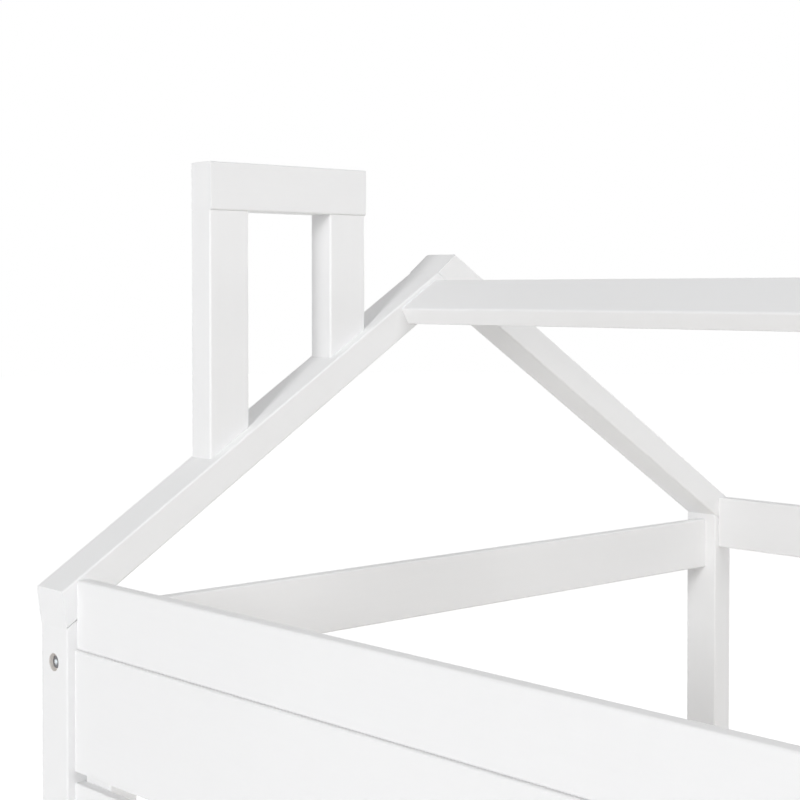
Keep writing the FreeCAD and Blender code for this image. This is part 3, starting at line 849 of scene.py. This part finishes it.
# ---------------------------------------------------------------- timber of the frame
@dataclass
class Timbers:
    """Timbers that the frame already holds: their edges are eased and they get a finish."""

    names: tuple[str, ...]
    grain: Grain
    finish: WhitePaint | BareWood = PAINT
    ease: float = 0.7 * MM
    sharp_from: float = math.radians(50)
    ease_steps: int = 3
    flat_within: float = math.radians(0.5)
    area_weight: int = 100

    def dress(self, frame: dict, bores: Sequence[Bore]) -> None:
        """Eases the edges that are sawn or drilled and gives every face its finish.

        Args:
            frame: the loaded frame.
            bores: the holes that show bare wood.
        """
        for name in self.names:
            timber = frame["nodes"][name]
            timber.data.materials.clear()
            timber.data.materials.append(self.finish.material(self.grain))
            if self.finish is PAINT:
                timber.data.materials.append(PRIMED_PINE.material(self.grain))
                self.bare_holes(timber, bores)
            self.ease_edges(timber)

    def ease_edges(self, timber: bpy.types.Object) -> None:
        """Welds the timber's faces, makes them whole and rounds the edges left sharp.

        Args:
            timber: the timber's object.
        """
        weld_faces(timber)
        whole = timber.modifiers.new("whole_faces", "DECIMATE")
        whole.decimate_type = "DISSOLVE"
        whole.angle_limit = self.flat_within
        whole.delimit = {"MATERIAL"}
        soften = timber.modifiers.new("eased_edges", "BEVEL")
        soften.limit_method = "ANGLE"
        soften.angle_limit = self.sharp_from
        soften.width = self.ease
        soften.segments = self.ease_steps
        # the clamp stops bevelled faces from folding over, and narrows the easing of a whole timber
        soften.use_clamp_overlap = True
        soften.harden_normals = True
        flatten = timber.modifiers.new("flat_faces", "WEIGHTED_NORMAL")
        flatten.mode = "FACE_AREA"
        flatten.weight = self.area_weight
        flatten.keep_sharp = True

    def bare_holes(self, timber: bpy.types.Object, bores: Sequence[Bore]) -> None:
        """Marks the faces inside drilled holes as bare wood.

        Args:
            timber: the timber's object.
            bores: the holes of the bed.
        """
        mesh = timber.data
        points = np.zeros(len(mesh.vertices) * 3)
        mesh.vertices.foreach_get("co", points)
        points = points.reshape(-1, 3)
        corners = np.zeros(len(mesh.loops), dtype=np.int32)
        mesh.loops.foreach_get("vertex_index", corners)
        starts = np.zeros(len(mesh.polygons), dtype=np.int32)
        mesh.polygons.foreach_get("loop_start", starts)
        bare = np.zeros(len(mesh.polygons), dtype=bool)
        for bore in bores:
            bare |= np.logical_and.reduceat(bore.holds(points)[corners], starts)
        mesh.polygons.foreach_set("material_index", bare.astype(np.int32))
        mesh.update()


@dataclass
class Gables:
    """Posts and rafters of both gables."""

    sides: tuple[str, ...] = ("front", "rear")

    def timbers(self) -> list[Timbers]:
        """Groups the timbers by their grain.

        Returns:
            The posts, and the rafters of each slope.
        """
        posts = tuple(f"post_{end}_{side}" for end in ENDS for side in self.sides)
        return [
            Timbers(posts, Grain.UPRIGHT),
            Timbers(tuple(f"rafter_{end}_front" for end in ENDS), Grain.FRONT_SLOPE),
            Timbers(tuple(f"rafter_{end}_rear" for end in ENDS), Grain.REAR_SLOPE),
        ]


@dataclass
class RoofRails:
    """The ridge board and the rails at the eaves and across the gables."""

    rounded_end: float = 1.9 * MM
    board_edge: float = 1.2 * MM

    def timbers(self) -> list[Timbers]:
        """Groups the timbers by their grain and their edges.

        Returns:
            Those along the bed and those across it.
        """
        return [
            Timbers(("ridge_board",), Grain.ALONG, ease=self.board_edge),
            Timbers(("eave_rail_front", "eave_rail_rear"), Grain.ALONG, ease=self.rounded_end),
            Timbers(("gable_rail_left", "gable_rail_right"), Grain.ACROSS, ease=self.rounded_end),
        ]


@dataclass
class Chimney:
    """Two short posts on a rafter and the cap across them."""

    cap_edge: float = 1.0 * MM

    def timbers(self) -> list[Timbers]:
        """Groups the timbers by their grain.

        Returns:
            The posts and the cap.
        """
        return [
            Timbers(("chimney_post_front", "chimney_post_rear"), Grain.UPRIGHT),
            Timbers(("chimney_cap",), Grain.ACROSS, ease=self.cap_edge),
        ]


@dataclass
class BoardedWall:
    """Header board, short boards beside the doorway, and their stiles."""

    rows: int = 5
    board_end: float = 1.4 * MM

    def timbers(self) -> list[Timbers]:
        """Groups the timbers by their grain.

        Returns:
            The boards and the stiles.
        """
        boards = tuple(f"wall_board_{end}_{row}" for end in ENDS
                       for row in range(1, self.rows + 1))
        stiles = tuple(f"{kind}_stile_{end}" for kind in ("end", "door") for end in ENDS)
        return [
            Timbers(("header_board", *boards), Grain.ALONG, ease=self.board_end),
            Timbers(stiles, Grain.UPRIGHT),
        ]


@dataclass
class BedRails:
    """Rails that carry the base, and the guard rails above them."""

    rounded_end: float = 1.6 * MM

    def timbers(self) -> list[Timbers]:
        """Groups the timbers by their grain and their edges.

        Returns:
            Those along the bed and those across it.
        """
        along = ("side_rail_front", "side_rail_rear", "guard_rail_rear")
        across = ("end_rail_left", "end_rail_right", "guard_rail_left", "guard_rail_right")
        return [
            Timbers(along, Grain.ALONG, ease=self.rounded_end),
            Timbers(across, Grain.ACROSS, ease=self.rounded_end),
        ]


@dataclass
class BedBase:
    """Ledgers, centre beam, centre leg and slats, all of bare pine."""

    slats: int = 11
    slat_edge: float = 1.0 * MM

    def timbers(self) -> list[Timbers]:
        """Groups the timbers by their grain and their edges.

        Returns:
            The timbers of the base.
        """
        slats = tuple(f"slat_{number:02d}" for number in range(1, self.slats + 1))
        return [
            Timbers(("ledger_front", "ledger_rear", "centre_beam"), Grain.ALONG, PINE),
            Timbers(("centre_leg",), Grain.UPRIGHT, PINE),
            Timbers(slats, Grain.ACROSS, PINE, ease=self.slat_edge),
        ]


@dataclass
class Hardware:
    """Bolts, barrel nuts, dowels and screws, and the holes that they sit in."""

    counterbore_radius: float = 9.0 * MM
    counterbore_left: float = 2.5 * MM
    screw_well_left: float = 10.0 * MM
    frame_screw_head: float = 4.0 * MM
    frame_screw_pitch: float = 2.6 * MM
    wood_screw_head: float = 2.2 * MM
    wood_screw_pitch: float = 1.8 * MM
    slack: float = 0.2 * MM
    nut_edge: float = 0.4 * MM
    nut_sharp_from: float = math.radians(40)

    def build(self, frame: dict) -> list[Bore]:
        """Builds every fastener.

        Args:
            frame: the loaded frame.

        Returns:
            The holes of the bolts and of the long screws.
        """
        bolt = SocketBolt()
        bolts = [seat for node in ("long_bolts", "short_bolts")
                 for seat in FastenerGroup(node, "dark_steel", DARK_STEEL, bolt).build(frame)]
        frame_screw = CountersunkScrew(self.frame_screw_head, self.frame_screw_pitch)
        wood_screw = CountersunkScrew(self.wood_screw_head, self.wood_screw_pitch)
        screws = FastenerGroup("frame_screws", "zinc_steel", ZINC, frame_screw).build(frame)
        FastenerGroup("wood_screws", "zinc_steel", ZINC, wood_screw).build(frame)
        FastenerGroup("dowels", "beech", BEECH, FlutedDowel()).build(frame)
        self.dress_nuts(frame["nodes"]["barrel_nuts"])
        counterbore = self.counterbore_radius + self.slack
        wells = [Bore(seat, counterbore, self.counterbore_left + self.slack,
                      bolt.head_height + self.slack) for seat in bolts]
        return wells + [Bore(seat, seat.head_radius + self.slack,
                             self.screw_well_left + self.slack,
                             self.frame_screw_head + self.slack) for seat in screws]

    def dress_nuts(self, nuts: bpy.types.Object) -> None:
        """Plates the barrel nuts and breaks their edges.

        Args:
            nuts: the object that holds them.
        """
        nuts.data.materials.clear()
        nuts.data.materials.append(ZINC.material())
        weld_faces(nuts)
        broken = nuts.modifiers.new("broken_edges", "BEVEL")
        broken.limit_method = "ANGLE"
        broken.angle_limit = self.nut_sharp_from
        broken.width = self.nut_edge
        broken.segments = 1
        broken.use_clamp_overlap = True


# ---------------------------------------------------------------- studio
@dataclass
class Softbox:
    """One large soft lamp, placed round the left gable's roof."""

    name: str
    azimuth: float
    elevation: float
    size: float
    watts: float
    distance: float = 5.0
    aim: Vector = Vector((-0.8, -0.1, 1.3))

    def build(self) -> None:
        """Adds the lamp to the scene."""
        outward = direction(self.azimuth, self.elevation)
        data = bpy.data.lights.new(self.name, "AREA")
        data.shape = "SQUARE"
        data.size = self.size
        data.energy = self.watts
        lamp = add_object(self.name, data)
        lamp.location = self.aim + outward * self.distance
        lamp.rotation_euler = (-outward).to_track_quat("-Z", "Y").to_euler()


@dataclass
class Studio:
    """White floor, soft light from all round, softboxes and the camera."""

    floor_radius: float = 30.0
    floor_sides: int = 96
    floor_drop: float = 0.2 * MM
    floor_colour: Colour = (0.9, 0.9, 0.9)
    floor_lift: float = 0.72
    overhead_light: float = 0.257
    horizon_glow: float = 0.724
    horizon_falloff: float = 3.0
    softboxes: tuple[Softbox, ...] = (
        Softbox("key_softbox", 281.0, 14.0, 1.0, 94.0),
        Softbox("side_softbox", 0.0, 40.0, 2.5, 60.0),
        Softbox("low_side_softbox", 0.0, 8.0, 2.5, 24.0),
        Softbox("back_softbox", 90.0, 8.0, 2.5, 68.0),
    )
    camera_place: Vector = Vector((0.5140, -1.4192, 1.5151))
    camera_azimuth: float = 137.839
    camera_tilt: float = -1.203
    focal_px: float = 1693.76
    axis_px: tuple[float, float] = (400.0, 327.76)
    photo_px: float = 800.0
    sensor: float = 36.0
    near_clip: float = 0.05

    def build(self) -> None:
        """Builds the floor, the lamps, the world and the camera."""
        self.build_floor()
        self.build_world()
        for softbox in self.softboxes:
            softbox.build()
        self.build_camera()

    def seen_directly(self, graph: Graph) -> bpy.types.NodeSocket:
        """Tells rays that show the background: from the camera, in gloss or through glass.

        Args:
            graph: the graph of the floor or the world.

        Returns:
            The output that is one for them and else nought.
        """
        path = graph.add("LightPath")
        factor = path.outputs["Is Camera Ray"]
        for name in ("Is Glossy Ray", "Is Transmission Ray"):
            either = graph.add("Math", operation="MAXIMUM")
            graph.link(factor, either.inputs[0])
            graph.link(path.outputs[name], either.inputs[1])
            factor = either.outputs["Value"]
        return factor

    def build_floor(self) -> None:
        """A round white floor that keeps the bed's shadow."""
        mesh = bpy.data.meshes.new("floor")
        work = bmesh.new()
        bmesh.ops.create_circle(work, cap_ends=True, radius=self.floor_radius,
                                segments=self.floor_sides)
        work.to_mesh(mesh)
        work.free()
        floor = add_object("floor", mesh)
        floor.location.z = -self.floor_drop
        material = bpy.data.materials.new("floor_white")
        graph = empty_graph(material)
        diffuse = graph.add("BsdfDiffuse")
        diffuse.inputs["Color"].default_value = (*self.floor_colour, 1.0)
        lift = graph.add("Emission")
        graph.link(graph.spread(self.seen_directly(graph), 0.0, self.floor_lift, 0.0, 1.0),
                   lift.inputs["Strength"])
        both = graph.add("AddShader")
        graph.link(diffuse.outputs["BSDF"], both.inputs[0])
        graph.link(lift.outputs["Emission"], both.inputs[1])
        graph.link(both.outputs["Shader"], graph.add("OutputMaterial").inputs["Surface"])
        mesh.materials.append(material)

    def build_world(self) -> None:
        """Soft light, stronger low down than from above; white where it is seen directly."""
        world = bpy.data.worlds.new("studio")
        graph = empty_graph(world)
        background = graph.add("Background")
        background.inputs["Color"].default_value = (1.0, 1.0, 1.0, 1.0)
        way = graph.add("SeparateXYZ")
        graph.link(graph.add("TexCoord").outputs["Generated"], way.inputs["Vector"])
        lowness = graph.spread(way.outputs["Z"], 1.0, 0.0, 0.0, 1.0)
        glow = graph.add("Math", operation="POWER")
        graph.link(lowness, glow.inputs[0])
        glow.inputs[1].default_value = self.horizon_falloff
        light = graph.add("Math", operation="MULTIPLY_ADD")
        graph.link(glow.outputs["Value"], light.inputs[0])
        light.inputs[1].default_value = self.horizon_glow
        light.inputs[2].default_value = self.overhead_light
        graph.link(graph.blend(self.seen_directly(graph), light.outputs["Value"], 1.0),
                   background.inputs["Strength"])
        graph.link(background.outputs["Background"], graph.add("OutputWorld").inputs["Surface"])
        bpy.context.scene.world = world

    def build_camera(self) -> None:
        """The camera at the photograph's viewing angle."""
        data = bpy.data.cameras.new("camera")
        data.sensor_width = self.sensor
        data.lens = self.focal_px / self.photo_px * self.sensor
        data.shift_x = (self.photo_px / 2 - self.axis_px[0]) / self.photo_px
        data.shift_y = (self.axis_px[1] - self.photo_px / 2) / self.photo_px
        data.clip_start = self.near_clip
        camera = add_object("camera", data)
        forward = direction(self.camera_azimuth, self.camera_tilt)
        camera.location = self.camera_place
        camera.rotation_euler = forward.to_track_quat("-Z", "Y").to_euler()
        bpy.context.scene.camera = camera


def main() -> None:
    """Loads the frame, dresses each sub-assembly and builds the studio."""
    logging.basicConfig(level=logging.INFO, format="%(name)s: %(message)s")
    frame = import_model()
    bpy.context.scene.view_settings.view_transform = "Standard"
    bores = Hardware().build(frame)
    LOG.info("hardware: %d bolt and screw holes", len(bores))
    for part in (Gables(), RoofRails(), Chimney(), BoardedWall(), BedRails(), BedBase()):
        for timbers in part.timbers():
            timbers.dress(frame, bores)
            LOG.info("%s: %s", type(part).__name__, ", ".join(timbers.names))
    Studio().build()


if __name__ == "__main__":
    main()
